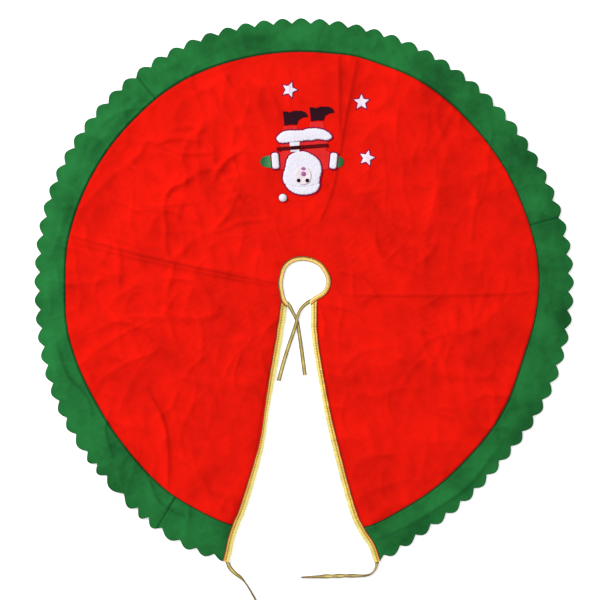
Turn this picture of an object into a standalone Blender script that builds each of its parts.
"""Felt tree skirt with a scalloped hem, bound edges, four ties and an appliqued figure.

The skirt lies flat on the floor, open, seen from above: +X is its right side, +Y its back and
+Z up. The slit runs from the neck hole to the rim on the -Y side. The origin is under the middle
of the skirt, on the floor.

The cloth folds along two pressed lines that run out from the neck hole, one to each side, so the
sheet is made as three panels that meet there: the back, which carries the figure, and a left and
a right flap, which turn up and over it. Angles are in degrees, counted from +X towards +Y, about
the middle of the neck hole.
"""
import math

import bmesh
import bpy
import numpy as np

MM = 0.001

# Cloth
FELT = 2.0 * MM               # thickness of the red disc and the green hem band
APPLIQUE_FELT = 1.0 * MM      # thickness of the cut-out shapes
PLUSH = 2.5 * MM              # thickness of the white fur pieces
GAP = 0.3 * MM                # between any two pieces that touch

# Rim and hem band
RIM_RADIUS = 450.0 * MM       # to the middle of the scallops
RIM_CENTRE = np.array((-7.0, 0.0)) * MM
HEM_BAND_WIDTH = 56.5 * MM
SEAM_CENTRE = np.array((-7.0, 2.7)) * MM
SCALLOP_PITCH = 31.5 * MM
SCALLOP_DEPTH = 9.0 * MM
SCALLOP_STEPS = 4             # points along one scallop
BAND_JOINS = (14.4, 129.0, 239.0)

# Neck hole
NECK_CENTRE = np.array((0.0, 12.5)) * MM
NECK_RADIUS = 37.0 * MM       # to the cut edge of the felt

# Slit: where it starts and ends, and how far each edge bows from the straight line between
SLIT_LEFT = {"neck_angle": 229.0, "rim_angle": 254.9,
             "bow": ((0.16, 5.0), (0.40, 8.5), (0.57, 13.5), (0.78, 8.5), (0.89, 1.0))}
SLIT_RIGHT = {"neck_angle": -70.0, "rim_angle": -76.0,
              "bow": ((0.12, 12.0), (0.28, 18.0), (0.51, 22.5), (0.81, 19.0), (0.94, 3.0))}

# Gold binding, a tape folded round the raw edge of the felt
TAPE = 0.5 * MM               # thickness of one layer
SLIT_BINDING_WIDTH = 12.0 * MM
NECK_BINDING_WIDTH = 8.0 * MM
BINDING_HEIGHT = FELT + GAP + TAPE
REBATE = TAPE + GAP           # the felt is pressed this much thinner over the lower leg
NECK_REBATE_SPARE = 3.0 * MM  # and this much past the tape, whose ends slant at the folds

# Sewing thread
THREAD = 0.5 * MM
STITCH_INSET = 2.5 * MM       # from the inner edge of the binding to its row of stitches
CUT_EASE = 14.0 * MM          # length of tape over which a slanting end is taken up

# Ties
TIE_WIDTH = 6.5 * MM
TIE_THICKNESS = 1.2 * MM

# Fold lines: a point on each and the direction it runs out in
FOLD_LEFT = {"point": np.array((0.0, 2.5)) * MM, "angle": 169.0}
FOLD_RIGHT = {"point": np.array((0.0, 2.5)) * MM, "angle": -1.0}

# How the cloth has eased out of round: (angle, spread in degrees, rise)
RIM_EASE = ((248.0, 17.0, 17.5 * MM), (184.0, 20.0, -10.5 * MM), (125.0, 25.0, 3.0 * MM),
            (6.0, 14.0, 3.0 * MM), (-42.0, 14.0, -9.0 * MM), (-76.0, 9.0, 18.0 * MM))
SEAM_EASE = ((254.0, 14.0, 14.0 * MM), (210.0, 15.0, -6.0 * MM), (60.0, 12.0, 4.0 * MM),
             (-20.0, 10.0, -6.5 * MM), (-76.0, 10.0, 15.0 * MM))
NECK_EASE = ((229.0, 20.0, 6.0 * MM), (125.0, 25.0, 3.0 * MM), (-55.0, 30.0, -9.0 * MM))

# Colours: name -> (red, green, blue), roughness, metallic
FINISHES = {
    "red_felt": ((0.78, 0.010, 0.004), 0.95, 0.0),
    "green_felt": ((0.020, 0.155, 0.040), 0.95, 0.0),
    "gold_lame": ((0.90, 0.60, 0.16), 0.35, 0.8),
    "gold_thread": ((0.80, 0.55, 0.15), 0.50, 0.3),
    "seam_thread": ((0.060, 0.030, 0.012), 0.60, 0.0),
    "white_plush": ((0.88, 0.87, 0.90), 1.0, 0.0),
    "white_felt": ((0.90, 0.89, 0.92), 0.95, 0.0),
    "black_felt": ((0.020, 0.008, 0.012), 0.95, 0.0),
    "mitten_felt": ((0.045, 0.270, 0.110), 0.95, 0.0),
    "face_felt": ((0.90, 0.74, 0.72), 0.95, 0.0),
    "nose_felt": ((0.36, 0.10, 0.26), 0.95, 0.0),
}


# --- plane geometry -----------------------------------------------------------------------------

def polar(centre, radius, angle):
    """Point at a distance and a direction from a centre."""
    turn = math.radians(angle)
    return np.array((centre[0] + radius * math.cos(turn), centre[1] + radius * math.sin(turn)))


def turned(angle):
    """Unit vector in a direction."""
    return polar((0.0, 0.0), 1.0, angle)


def eased(angle, eases):
    """Sum of smooth bumps at the given angles."""
    total = 0.0
    for at, spread, rise in eases:
        away = (angle - at + 180.0) % 360.0 - 180.0
        total += rise * math.exp(-(away / spread) ** 2)
    return total


def reach(angle, centre, radius):
    """Distance from the neck's centre, in a direction, to a circle with another centre."""
    direction = turned(angle)
    offset = np.asarray(centre) - NECK_CENTRE
    along = float(offset @ direction)
    return along + math.sqrt(along * along - float(offset @ offset) + radius * radius)


def rim_radius(angle):
    return reach(angle, RIM_CENTRE, RIM_RADIUS) + eased(angle, RIM_EASE)


def seam_radius(angle):
    return reach(angle, SEAM_CENTRE, RIM_RADIUS - HEM_BAND_WIDTH) + eased(angle, SEAM_EASE)


def neck_radius(angle):
    return NECK_RADIUS + eased(angle, NECK_EASE)


def ring(radius_at, start, end, step, offset=0.0):
    """Points along a ring about the neck's centre, moved out by an offset."""
    count = max(2, round(abs(end - start) / step) + 1)
    return np.array([polar(NECK_CENTRE, radius_at(a) + offset, a)
                     for a in np.linspace(start, end, count)])


def lengths(path):
    """Distance along a path to each of its points."""
    steps = np.linalg.norm(np.diff(path, axis=0), axis=1)
    return np.concatenate(([0.0], np.cumsum(steps)))


def normals(path):
    """Unit normal at each point of a path, on the left of its direction."""
    along = np.gradient(path, axis=0)
    along /= np.linalg.norm(along, axis=1)[:, None]
    return np.stack((-along[:, 1], along[:, 0]), axis=1)


def smooth_curve(points, per_span):
    """Catmull-Rom curve through points, with a number of steps in each span."""
    p = np.asarray(points, dtype=float)
    p = np.vstack((2 * p[0] - p[1], p, 2 * p[-1] - p[-2]))
    rows = []
    for i in range(1, len(p) - 2):
        for t in np.arange(per_span) / per_span:
            rows.append(0.5 * (2 * p[i] + (p[i + 1] - p[i - 1]) * t
                               + (2 * p[i - 1] - 5 * p[i] + 4 * p[i + 1] - p[i + 2]) * t ** 2
                               + (3 * p[i] - p[i - 1] - 3 * p[i + 1] + p[i + 2]) * t ** 3))
    rows.append(p[-2])
    return np.array(rows)


def meet(path_a, path_b):
    """Where two paths cross: the place along each, as an index with a fraction."""
    for i in range(len(path_a) - 1):
        a, da = path_a[i], path_a[i + 1] - path_a[i]
        b, db = path_b[:-1], np.diff(path_b, axis=0)
        cross = da[0] * db[:, 1] - da[1] * db[:, 0]
        cross = np.where(np.abs(cross) < 1e-18, 1e-18, cross)
        t = ((b[:, 0] - a[0]) * db[:, 1] - (b[:, 1] - a[1]) * db[:, 0]) / cross
        u = ((b[:, 0] - a[0]) * da[1] - (b[:, 1] - a[1]) * da[0]) / cross
        hits = np.nonzero((t >= 0) & (t < 1) & (u >= 0) & (u < 1))[0]
        if len(hits):
            return i + t[hits[0]], hits[0] + u[hits[0]]
    raise ValueError("the two paths do not cross")


def stretch(path, start, end):
    """Part of a path between two places on it, running from start to end."""
    low, high = min(start, end), max(start, end)

    def at(place):
        i = min(int(place), len(path) - 2)
        return path[i] + (path[i + 1] - path[i]) * (place - i)

    inner = [path[i] for i in range(len(path)) if low + 0.15 < i < high - 0.15]
    points = np.array([at(low)] + inner + [at(high)])
    return points if start < end else points[::-1]


def between(path, first, last):
    """Part of a path from where it crosses one path to where it crosses another."""
    return stretch(path, meet(path, first)[0], meet(path, last)[0])


def line(point, angle, near, far, offset=0.0):
    """Straight path out from a point, moved to the left of its direction by an offset."""
    along = turned(angle)
    base = np.asarray(point) + offset * np.array((-along[1], along[0]))
    return np.array((base + near * along, base + far * along))


def outline(*paths):
    """One closed outline from paths that follow each other end to end."""
    points = []
    for path in paths:
        for point in path:
            if not points or np.linalg.norm(point - points[-1]) > 0.01 * MM:
                points.append(point)
    if np.linalg.norm(points[0] - points[-1]) < 0.01 * MM:
        points.pop()
    return np.array(points)


# --- the lines that the cloth is cut to ---------------------------------------------------------

FAR = 2.0 * RIM_RADIUS
RING_START, RING_END = -85.0, 265.0


def scalloped_rim():
    """Outer edge of the hem band: round bumps that meet in sharp notches."""
    base = ring(rim_radius, RING_START, RING_END, 0.5)
    along = lengths(base)
    outward = -normals(base)
    steps = int(along[-1] / SCALLOP_PITCH * SCALLOP_STEPS)
    rows = []
    for k in range(steps + 1):
        place = k * SCALLOP_PITCH / SCALLOP_STEPS
        bump = math.sin(math.pi * (k % SCALLOP_STEPS) / SCALLOP_STEPS) - 2.0 / math.pi
        point = [np.interp(place, along, base[:, axis]) for axis in (0, 1)]
        out = [np.interp(place, along, outward[:, axis]) for axis in (0, 1)]
        rows.append(np.array(point) + bump * SCALLOP_DEPTH * np.array(out))
    return np.array(rows)


def slit_edge(slit, side):
    """Cut edge of the felt along the slit, from inside the neck hole to past the rim.

    side is +1 where the bow turns towards +X, and -1 where it turns towards -X.
    """
    start = polar(NECK_CENTRE, neck_radius(slit["neck_angle"]), slit["neck_angle"])
    end = polar(NECK_CENTRE, rim_radius(slit["rim_angle"]), slit["rim_angle"])
    chord = end - start
    across = side * np.array((-chord[1], chord[0])) / np.linalg.norm(chord)
    points = [start] + [start + t * chord + bow * MM * across for t, bow in slit["bow"]] + [end]
    curve = smooth_curve(points, 4)
    first = curve[0] - 10.0 * MM * (curve[1] - curve[0]) / np.linalg.norm(curve[1] - curve[0])
    last = curve[-1] + 25.0 * MM * (curve[-1] - curve[-2]) / np.linalg.norm(curve[-1] - curve[-2])
    return np.vstack((first, curve, last))


def fold_line(fold, offset):
    return line(fold["point"], fold["angle"], 0.0, FAR, offset)


def join_line(angle, offset):
    return line(NECK_CENTRE, angle, 0.0, FAR, offset)


RIM = scalloped_rim()
SEAM_FELT = ring(seam_radius, RING_START, RING_END, 4.0, -GAP / 2)
SEAM_BAND = ring(seam_radius, RING_START, RING_END, 4.0, GAP / 2)
NECK = ring(neck_radius, -80.0, 240.0, 8.0)
EDGE_LEFT = slit_edge(SLIT_LEFT, 1)
EDGE_RIGHT = slit_edge(SLIT_RIGHT, -1)
LEFT_OF_BACK = fold_line(FOLD_LEFT, -GAP / 2)
LEFT_OF_FLAP = fold_line(FOLD_LEFT, GAP / 2)
RIGHT_OF_BACK = fold_line(FOLD_RIGHT, GAP / 2)
RIGHT_OF_FLAP = fold_line(FOLD_RIGHT, -GAP / 2)


# --- solids -------------------------------------------------------------------------------------

def clear_scene():
    for obj in list(bpy.data.objects):
        bpy.data.objects.remove(obj, do_unlink=True)


def finish_material(name):
    """The Principled material of one finish, made once."""
    material = bpy.data.materials.get(name)
    if material is None:
        colour, roughness, metallic = FINISHES[name]
        material = bpy.data.materials.new(name)
        material.use_nodes = True
        shader = material.node_tree.nodes["Principled BSDF"]
        shader.inputs["Base Color"].default_value = (*colour, 1.0)
        shader.inputs["Roughness"].default_value = roughness
        shader.inputs["Metallic"].default_value = metallic
        material.diffuse_color = (*colour, 1.0)
    return material


def add_object(name, mesh, finish):
    obj = bpy.data.objects.new(name, mesh)
    bpy.context.scene.collection.objects.link(obj)
    mesh.materials.append(finish_material(finish))
    return obj


def slab(name, points, low, high, finish):
    """Flat piece of cloth: an outline extruded straight up from low to high."""
    bm = bmesh.new()
    face = bm.faces.new([bm.verts.new((x, y, low)) for x, y in points])
    raised = bmesh.ops.extrude_face_region(bm, geom=[face])
    top = [item for item in raised["geom"] if isinstance(item, bmesh.types.BMVert)]
    bmesh.ops.translate(bm, verts=top, vec=(0.0, 0.0, high - low))
    bmesh.ops.recalc_face_normals(bm, faces=bm.faces)
    mesh = bpy.data.meshes.new(name)
    bm.to_mesh(mesh)
    bm.free()
    return add_object(name, mesh, finish)


def sweep(name, path, profile, finish, start_cut=None, end_cut=None):
    """Piece of one cross-section carried along a path in the plane.

    profile is a closed list of (distance to the left of the path, height). A cut is the
    direction in which the end is sliced, when that isn't square to the path; the sections near
    it lean over towards it.
    """
    path = np.asarray(path)
    square = normals(path)
    along = lengths(path)
    across = square.copy()
    for cut, away in ((start_cut, along), (end_cut, along[-1] - along)):
        if cut is not None:
            lean = np.clip(1.0 - away / CUT_EASE, 0.0, 1.0)[:, None]
            across += lean * (np.sign(square @ cut)[:, None] * cut - square)
    across /= np.sum(across * square, axis=1)[:, None]
    bm = bmesh.new()
    sections = []
    for point, left in zip(path, across):
        section = [bm.verts.new((*(point + side * left), height)) for side, height in profile]
        sections.append(section)
    count = len(profile)
    for first, second in zip(sections, sections[1:]):
        for i in range(count):
            j = (i + 1) % count
            bm.faces.new((first[i], first[j], second[j], second[i]))
    bm.faces.new(sections[0])
    bm.faces.new(sections[-1])
    bmesh.ops.recalc_face_normals(bm, faces=bm.faces)
    mesh = bpy.data.meshes.new(name)
    bm.to_mesh(mesh)
    bm.free()
    return add_object(name, mesh, finish)


def cut_away(obj, cutter):
    """Boolean difference that stays on the object."""
    modifier = obj.modifiers.new("cut", "BOOLEAN")
    modifier.operation = "DIFFERENCE"
    modifier.solver = "EXACT"
    modifier.object = cutter


def as_cutter(obj):
    obj.hide_render = True
    obj.display_type = "WIRE"
    return obj


def dome(name, centre, radius, low, high, finish, segments=12, rings=3):
    """Low round button, flat underneath."""
    profile = [(radius * math.cos(a), low + (high - low) * math.sin(a))
               for a in np.linspace(0.0, math.pi / 2, rings + 1)[:-1]]
    bm = bmesh.new()
    loops = []
    for r, z in profile:
        loops.append([bm.verts.new((*polar(centre, r, 360.0 * i / segments), z))
                      for i in range(segments)])
    for lower, upper in zip(loops, loops[1:]):
        for i in range(segments):
            j = (i + 1) % segments
            bm.faces.new((lower[i], lower[j], upper[j], upper[i]))
    tip = bm.verts.new((*centre, high))
    for i in range(segments):
        bm.faces.new((loops[-1][i], loops[-1][(i + 1) % segments], tip))
    bm.faces.new(loops[0])
    bmesh.ops.recalc_face_normals(bm, faces=bm.faces)
    mesh = bpy.data.meshes.new(name)
    bm.to_mesh(mesh)
    bm.free()
    return add_object(name, mesh, finish)


def ribbon(name, points, finish):
    """Flat tie: a curve with a flat section, closed at both ends, along a smooth route."""
    route = smooth_curve(points, 3)
    data = bpy.data.curves.new(name, "CURVE")
    data.dimensions = "3D"
    data.twist_mode = "Z_UP"
    data.extrude = (TIE_WIDTH - TIE_THICKNESS) / 2
    data.bevel_depth = TIE_THICKNESS / 2
    data.bevel_resolution = 2
    data.use_fill_caps = True
    spline = data.splines.new("POLY")
    spline.points.add(len(route) - 1)
    for place, point in zip(spline.points, route):
        place.co = (*point, 1.0)
        place.tilt = math.pi / 2
    obj = bpy.data.objects.new(name, data)
    bpy.context.scene.collection.objects.link(obj)
    data.materials.append(finish_material(finish))
    return obj


# --- the skirt ----------------------------------------------------------------------------------

def felt_panel(name, first, last):
    """Red panel between two cuts that run out from the neck hole, first to last anticlockwise."""
    points = outline(between(NECK, first, last), between(last, NECK, SEAM_FELT),
                     between(SEAM_FELT, last, first), between(first, SEAM_FELT, NECK))
    return slab(name, points, 0.0, FELT, "red_felt")


def hem_band(name, first, last):
    """Green strip between two cuts, with the scalloped rim outside."""
    points = outline(between(SEAM_BAND, first, last), between(last, SEAM_BAND, RIM),
                     between(RIM, last, first), between(first, RIM, SEAM_BAND))
    return slab(name, points, 0.0, FELT, "green_felt")


def binding_section(width, side):
    """Tape folded over a raw edge that lies on the path; side is +1 where open air is left."""
    leg = width - GAP - TAPE
    lip = GAP + TAPE
    top = BINDING_HEIGHT
    points = ((-leg, 0.0), (lip, 0.0), (lip, top), (-leg, top),
              (-leg, top - TAPE), (GAP, top - TAPE), (GAP, TAPE), (-leg, TAPE))
    return [(side * across, height) for across, height in points]


def thread_section(base):
    half = THREAD / 2
    return [(-half, base), (half, base), (half, base + THREAD), (-half, base + THREAD)]


def shifted(path, offset):
    """Path moved to the left of its direction."""
    return path + offset * normals(path)


def clear_of_neck(edge):
    """Place along a slit edge where the neck's binding has ended."""
    place = 1.0
    while True:
        i = int(place)
        point = edge[i] + (edge[i + 1] - edge[i]) * (place - i)
        away = point - NECK_CENTRE
        angle = math.degrees(math.atan2(away[1], away[0]))
        if np.linalg.norm(away) - neck_radius(angle) > NECK_BINDING_WIDTH + 2 * GAP:
            return place
        place += 0.02


def trimmed(path, near, far):
    """Path without a length at each end."""
    along = lengths(path)
    inner = [p for p, d in zip(path, along) if near + 1.0 * MM < d < along[-1] - far - 1.0 * MM]

    def at(distance):
        return [np.interp(distance, along, path[:, axis]) for axis in (0, 1)]

    return np.array([at(near)] + inner + [at(along[-1] - far)])


def cloth():
    """Red panels and green bands, with their underside pressed thinner where tape wraps them."""
    panels = {
        "felt_panel_back": felt_panel("felt_panel_back", RIGHT_OF_BACK, LEFT_OF_BACK),
        "felt_panel_left": felt_panel("felt_panel_left", LEFT_OF_FLAP, EDGE_LEFT),
        "felt_panel_right": felt_panel("felt_panel_right", EDGE_RIGHT, RIGHT_OF_FLAP),
    }
    joins = [(join_line(a, -GAP / 2), join_line(a, GAP / 2)) for a in BAND_JOINS]
    hem_band("hem_band_right_back", RIGHT_OF_BACK, joins[0][0])
    hem_band("hem_band_top", joins[0][1], joins[1][0])
    hem_band("hem_band_left_back", joins[1][1], LEFT_OF_BACK)
    hem_band("hem_band_left_front", LEFT_OF_FLAP, joins[2][0])
    end = hem_band("hem_band_end", joins[2][1], EDGE_LEFT)
    front = hem_band("hem_band_right_front", EDGE_RIGHT, RIGHT_OF_FLAP)

    below = -1.0 * MM
    neck = ring(neck_radius, 0.0, 352.0, 8.0, NECK_BINDING_WIDTH + NECK_REBATE_SPARE)
    neck_cutter = as_cutter(slab("neck_rebate", neck, below, REBATE, "red_felt"))
    for panel in panels.values():
        cut_away(panel, neck_cutter)
    inner = SLIT_BINDING_WIDTH
    outer = 4.0 * MM
    for name, edge, side, pieces in (
            ("slit_rebate_left", EDGE_LEFT, 1, (panels["felt_panel_left"], end)),
            ("slit_rebate_right", EDGE_RIGHT, -1, (panels["felt_panel_right"], front))):
        strip = np.vstack((shifted(edge, side * outer), shifted(edge, -side * inner)[::-1]))
        cutter = as_cutter(slab(name, strip, below, REBATE, "red_felt"))
        for piece in pieces:
            cut_away(piece, cutter)


def neck_binding(name, first, last, first_cut, last_cut):
    """Gold tape along part of the neck hole, sliced along the cuts at its ends."""
    sweep(name, between(NECK, first, last), binding_section(NECK_BINDING_WIDTH, 1), "gold_lame",
          first_cut, last_cut)


def bindings():
    """Gold tape round the neck hole and along both edges of the slit."""
    left_edge = EDGE_LEFT[3] - EDGE_LEFT[1]
    right_edge = EDGE_RIGHT[3] - EDGE_RIGHT[1]
    left_fold, right_fold = turned(FOLD_LEFT["angle"]), turned(FOLD_RIGHT["angle"])
    neck_binding("neck_binding_right", EDGE_RIGHT, RIGHT_OF_FLAP,
                 right_edge / np.linalg.norm(right_edge), right_fold)
    neck_binding("neck_binding_back", RIGHT_OF_BACK, LEFT_OF_BACK, right_fold, left_fold)
    neck_binding("neck_binding_left", LEFT_OF_FLAP, EDGE_LEFT,
                 left_fold, left_edge / np.linalg.norm(left_edge))
    for side_name, edge, side in (("left", EDGE_LEFT, 1), ("right", EDGE_RIGHT, -1)):
        path = stretch(edge, clear_of_neck(edge), meet(edge, RIM)[0])
        sweep(f"slit_binding_{side_name}", path, binding_section(SLIT_BINDING_WIDTH, side),
              "gold_lame")
        row = side * (STITCH_INSET + GAP + TAPE - SLIT_BINDING_WIDTH)
        sweep(f"slit_thread_{side_name}", trimmed(shifted(path, row), 1.0 * MM, 1.0 * MM),
              thread_section(BINDING_HEIGHT + GAP), "gold_thread")


def threads():
    """Rows of stitching over the hem seam and along the neck's binding."""
    seam = ring(seam_radius, RING_START, RING_END, 4.0)
    row = shifted(NECK, STITCH_INSET + GAP + TAPE - NECK_BINDING_WIDTH)
    clear = GAP + 1.0 * MM
    past_tape = SLIT_BINDING_WIDTH + clear
    for name, first, last, near, far in (
            ("right", EDGE_RIGHT, RIGHT_OF_FLAP, past_tape, clear),
            ("back", RIGHT_OF_BACK, LEFT_OF_BACK, clear, clear),
            ("left", LEFT_OF_FLAP, EDGE_LEFT, clear, past_tape)):
        sweep(f"hem_thread_{name}", trimmed(between(seam, first, last), near, far),
              thread_section(FELT + GAP), "seam_thread")
        sweep(f"neck_thread_{name}", trimmed(between(row, first, last), clear, clear),
              thread_section(BINDING_HEIGHT + GAP), "gold_thread")


# --- ties ---------------------------------------------------------------------------------------
# Each route runs from where the tie leaves its binding to its free end, and lies on the floor.

TIES = {
    "neck_tie_left": ((-24.5, -25.5, 1.4), (-20.5, -34.5, 0.9), (-15.5, -44.0, 0.9),
                      (-12.0, -53.0, 0.9), (-9.5, -68.0, 0.9), (-6.0, -92.0, 0.9),
                      (-2.5, -118.0, 0.9), (0.5, -141.0, 0.9)),
    "neck_tie_right": ((5.6, -19.8, 1.4), (-1.5, -25.5, 1.3), (-7.5, -33.0, 2.2),
                       (-11.5, -43.0, 3.0), (-14.2, -55.0, 3.0), (-20.5, -75.0, 1.8),
                       (-29.0, -100.0, 0.9), (-37.0, -127.0, 0.9), (-43.0, -150.5, 0.9)),
    "hem_tie_left": ((-127.0, -456.0, 1.4), (-123.5, -463.0, 0.9), (-115.8, -471.0, 0.9),
                     (-106.0, -478.5, 0.9), (-96.5, -490.0, 0.9), (-88.0, -504.0, 0.9),
                     (-81.5, -516.0, 0.9), (-76.0, -531.0, 0.9), (-71.5, -548.0, 0.9),
                     (-67.0, -571.5, 0.9)),
    "hem_tie_right": ((118.0, -461.0, 1.4), (116.0, -467.0, 0.9), (110.5, -472.0, 0.9),
                      (103.0, -474.5, 0.9), (92.0, -475.2, 0.9), (70.0, -475.2, 0.9),
                      (45.0, -475.8, 0.9), (20.0, -476.8, 0.9), (-6.0, -477.8, 0.9)),
}


def ties():
    for name, route in TIES.items():
        ribbon(name, np.array(route) * MM, "gold_lame")


# --- applique -----------------------------------------------------------------------------------
# The figure lies head towards the neck hole. Its outlines are in millimetres on the skirt.

def layer(number):
    """Height of the underside of a layer of applique."""
    return FELT + GAP + number * (APPLIQUE_FELT + GAP)


def closed_curve(points, per_span=2):
    """Smooth closed outline through a few points."""
    p = np.asarray(points, dtype=float)
    rows = []
    for i in range(len(p)):
        a, b, c, d = p[i - 1], p[i], p[(i + 1) % len(p)], p[(i + 2) % len(p)]
        for t in np.arange(per_span) / per_span:
            rows.append(0.5 * (2 * b + (c - a) * t + (2 * a - 5 * b + 4 * c - d) * t ** 2
                               + (3 * b - a - 3 * c + d) * t ** 3))
    return np.array(rows) * MM


def ellipse(centre, across, up, count=16):
    turns = 2 * math.pi * np.arange(count) / count
    return (np.array(centre) + np.stack((across * np.cos(turns), up * np.sin(turns)), 1)) * MM


def rounded_bar(centre, width, height, tilt, corner, steps=3):
    """Rectangle with round corners, turned by tilt."""
    points = []
    for quarter in range(4):
        sx, sy = ((1, 1), (-1, 1), (-1, -1), (1, -1))[quarter]
        middle = (sx * (width / 2 - corner), sy * (height / 2 - corner))
        for a in np.linspace(90.0 * quarter, 90.0 * quarter + 90.0, steps + 1):
            points.append(polar(middle, corner, a))
    c, s = turned(tilt)
    points = np.array(points)
    spun = np.stack((c * points[:, 0] - s * points[:, 1], s * points[:, 0] + c * points[:, 1]), 1)
    return (np.array(centre) + spun) * MM


STAR_RADIUS = 13.5
STAR_WAIST = 6.4              # radius of the notches
STARS = {"star_near_boots": ((-25.0, 334.0), 0.0), "star_top_right": ((95.0, 313.5), 90.0),
         "star_right": ((104.0, 220.5), 4.0)}

BOOT = ((0.0, 0.0), (-1.0, 12.0), (-2.5, 23.5), (5.5, 23.5), (7.5, 21.8), (16.0, 24.8),
        (29.0, 24.8), (36.0, 21.5), (40.0, 15.0), (29.5, 12.8), (23.5, 8.6), (21.0, 1.2),
        (10.0, 1.8))
BOOT_PLACES = {"boot_left": (-33.6, 274.6), "boot_right": (10.6, 281.6)}
TROUSERS = {"trouser_left": ((-34.0, 273.8), (-37.0, 259.0), (-9.0, 259.0), (-12.5, 273.8)),
            "trouser_right": ((10.2, 280.8), (6.0, 260.0), (35.5, 260.0), (31.5, 280.8))}
COAT = ((-42.0, 250.0), (-37.0, 230.0), (-47.5, 228.0), (-47.5, 203.5), (-25.0, 199.0),
        (20.0, 199.0), (47.0, 203.5), (47.0, 228.0), (36.5, 232.5), (40.0, 253.0))
COAT_TRIM = ((-46.2, 254.5), (-41.0, 246.3), (-27.0, 246.3), (-8.0, 248.2), (4.5, 250.3),
             (13.0, 249.8), (21.5, 252.0), (38.0, 250.4), (45.8, 256.2), (39.2, 263.8),
             (25.0, 269.5), (6.0, 269.5), (-4.5, 266.6), (-33.0, 265.2))
PLACKET = ((-25.0, 245.2), (-23.0, 234.0), (-8.5, 234.6), (-7.8, 246.2))
BELT_MIDDLE, BELT_LENGTH, BELT_WIDTH, BELT_TILT = (-3.3, 238.6), 86.0, 6.0, 4.4
BELT_OVER = (-22.8, -2.6)     # the stretch that is lifted over the placket
BEARD = ((-12.0, 231.0), (-24.0, 225.5), (-29.5, 216.0), (-31.5, 205.0), (-35.0, 194.0),
         (-35.5, 184.0), (-30.5, 176.4), (-17.0, 173.4), (-3.0, 172.4), (12.0, 173.6),
         (23.8, 178.2), (25.5, 187.0), (27.8, 197.0), (27.4, 209.0), (22.5, 218.5),
         (11.0, 226.8), (0.0, 231.2))
HAT_BRIM = ((-30.5, 173.6), (-24.0, 166.5), (-14.0, 161.2), (-2.0, 159.4), (12.0, 161.2),
            (21.5, 166.8), (24.4, 175.4), (12.0, 171.2), (-3.0, 169.8), (-17.0, 170.8))
HAT = ((-37.0, 156.5), (-22.0, 159.0), (-16.0, 168.0), (16.0, 168.0), (20.0, 161.0),
       (8.0, 151.5), (-8.0, 148.5), (-26.0, 149.0))
CUFFS = {"cuff_left": ((-48.5, 215.9), 4.5), "cuff_right": ((48.2, 215.9), -6.0)}
CUFF_SIZE = (11.6, 26.6, 4.2)
MITTENS = {"mitten_left": ((-74.0, 214.5), (-70.5, 207.5), (-62.0, 204.8), (-50.0, 205.5),
                           (-50.0, 223.5), (-62.0, 224.2), (-70.5, 221.5)),
           "mitten_right": ((66.0, 214.3), (62.5, 207.2), (56.0, 204.6), (50.0, 205.0),
                            (50.0, 223.5), (56.0, 224.2), (62.5, 221.3))}
FACE_MIDDLE, FACE_ACROSS, FACE_UP = (-2.5, 191.5), 13.5, 15.5
EYES = {"eye_left": (-9.8, 183.0), "eye_right": (4.6, 183.0)}
EYE_RADIUS = 3.2
NOSE_MIDDLE, NOSE_RADIUS = (-1.6, 194.0), 3.9
MOUTH_MIDDLE, MOUTH_ACROSS, MOUTH_UP = (-2.0, 202.8), 3.8, 2.4
POMPOM_MIDDLE, POMPOM_RADIUS = (-36.0, 154.3), 6.7


def star(name, centre, angle):
    points = [polar(np.array(centre), STAR_WAIST if k % 2 else STAR_RADIUS, angle + 36.0 * k) * MM
              for k in range(10)]
    slab(name, points, layer(0), layer(0) + APPLIQUE_FELT, "white_felt")


def belt():
    """Strip that steps up over the placket and down again on its other side."""
    half = BELT_LENGTH / 2
    low, high = layer(1) / MM, layer(2) / MM
    thick = APPLIQUE_FELT / MM
    start, stop = BELT_OVER
    ramp = 1.8
    under = ((-half, low), (start - ramp, low), (start, high), (stop, high),
             (stop + ramp, low), (half, low))
    over = ((half, low + thick), (stop + ramp + 0.6, low + thick), (stop + 0.6, high + thick),
            (start - 0.6, high + thick), (start - ramp - 0.6, low + thick), (-half, low + thick))
    section = [(along * MM, height * MM) for along, height in under + over]
    middle = np.array(BELT_MIDDLE) * MM
    across = turned(BELT_TILT - 90.0) * BELT_WIDTH / 2 * MM
    sweep("belt", (middle - across, middle + across), section, "black_felt")


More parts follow.
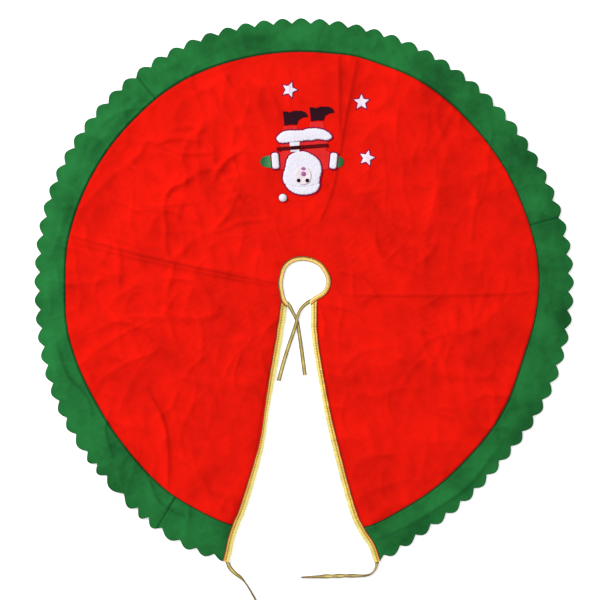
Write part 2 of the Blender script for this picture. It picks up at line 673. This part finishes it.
def figure():
    base, first, second, third = (layer(n) for n in range(4))
    for name, (centre, angle) in STARS.items():
        star(name, centre, angle)
    for name, place in BOOT_PLACES.items():
        slab(name, (np.array(BOOT) + place) * MM, base, base + APPLIQUE_FELT, "black_felt")
    for name, points in TROUSERS.items():
        slab(name, np.array(points) * MM, base, base + APPLIQUE_FELT, "red_felt")
    slab("coat", np.array(COAT) * MM, base, base + APPLIQUE_FELT, "red_felt")
    slab("hat", closed_curve(HAT), base, base + APPLIQUE_FELT, "red_felt")
    for name, points in MITTENS.items():
        slab(name, np.array(points) * MM, base, base + APPLIQUE_FELT, "mitten_felt")
    slab("coat_trim", closed_curve(COAT_TRIM), first, first + PLUSH, "white_plush")
    slab("placket", np.array(PLACKET) * MM, first, first + APPLIQUE_FELT, "white_plush")
    belt()
    width, height, corner = CUFF_SIZE
    for name, (centre, tilt) in CUFFS.items():
        slab(name, rounded_bar(centre, width, height, tilt, corner), first, first + PLUSH,
             "white_plush")
    slab("beard", closed_curve(BEARD), first, first + PLUSH, "white_plush")
    slab("hat_brim", closed_curve(HAT_BRIM), first, first + PLUSH, "white_plush")
    dome("pompom", np.array(POMPOM_MIDDLE) * MM, POMPOM_RADIUS * MM, first, first + 2 * PLUSH,
         "white_plush")
    on_beard = first + PLUSH + GAP
    on_face = on_beard + APPLIQUE_FELT + GAP
    slab("face", ellipse(FACE_MIDDLE, FACE_ACROSS, FACE_UP), on_beard, on_beard + APPLIQUE_FELT,
         "face_felt")
    for name, centre in EYES.items():
        dome(name, np.array(centre) * MM, EYE_RADIUS * MM, on_face, on_face + APPLIQUE_FELT,
             "black_felt", rings=2)
    dome("nose", np.array(NOSE_MIDDLE) * MM, NOSE_RADIUS * MM, on_face, on_face + 1.5 * MM,
         "nose_felt", rings=2)
    slab("mouth", ellipse(MOUTH_MIDDLE, MOUTH_ACROSS, MOUTH_UP, 12), on_face,
         on_face + APPLIQUE_FELT, "nose_felt")


def main():
    clear_scene()
    cloth()
    bindings()
    threads()
    ties()
    figure()


main()
